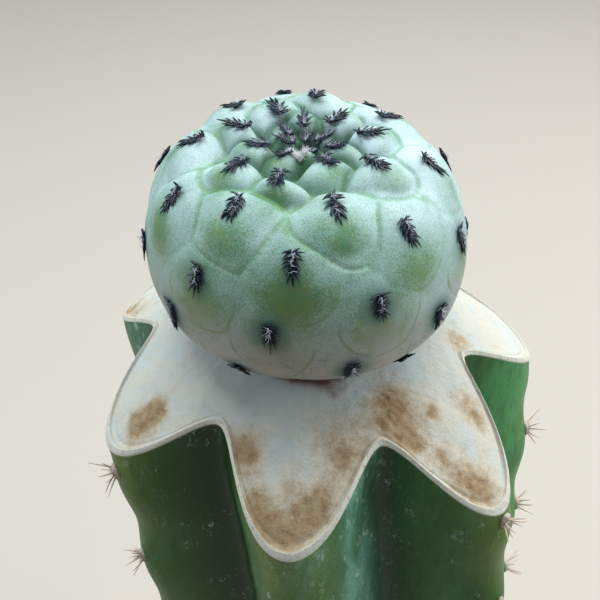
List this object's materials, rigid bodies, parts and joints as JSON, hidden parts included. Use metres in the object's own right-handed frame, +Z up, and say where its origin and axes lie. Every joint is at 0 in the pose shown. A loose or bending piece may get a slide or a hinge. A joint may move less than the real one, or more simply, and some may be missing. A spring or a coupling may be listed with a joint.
{
  "type": "potted grafted cactus",
  "caption": "Flattened globe cactus of spiralled tubercles, grafted on the bevelled cut top of a ribbed column, standing in gritty soil in a plain clay pot.",
  "frame": {"origin": "centre of the pot's foot, on the surface it stands on", "axes": "+Z up along the pot and the plant, -Y towards the viewer of the picture, +X to the viewer's right"},
  "size_m": [0.086, 0.086, 0.2183],
  "materials": {
    "clay": "unglazed, matte",
    "soil": "rough mineral grit",
    "stock_skin": "waxy plant skin with a pale dry cut face",
    "scion_skin": "plant skin with a powdery bloom"
  },
  "bodies": {
    "root": {"pot": "clay", "soil": "soil", "stock": "stock_skin", "scion": "scion_skin"}
  },
  "joints": []
}
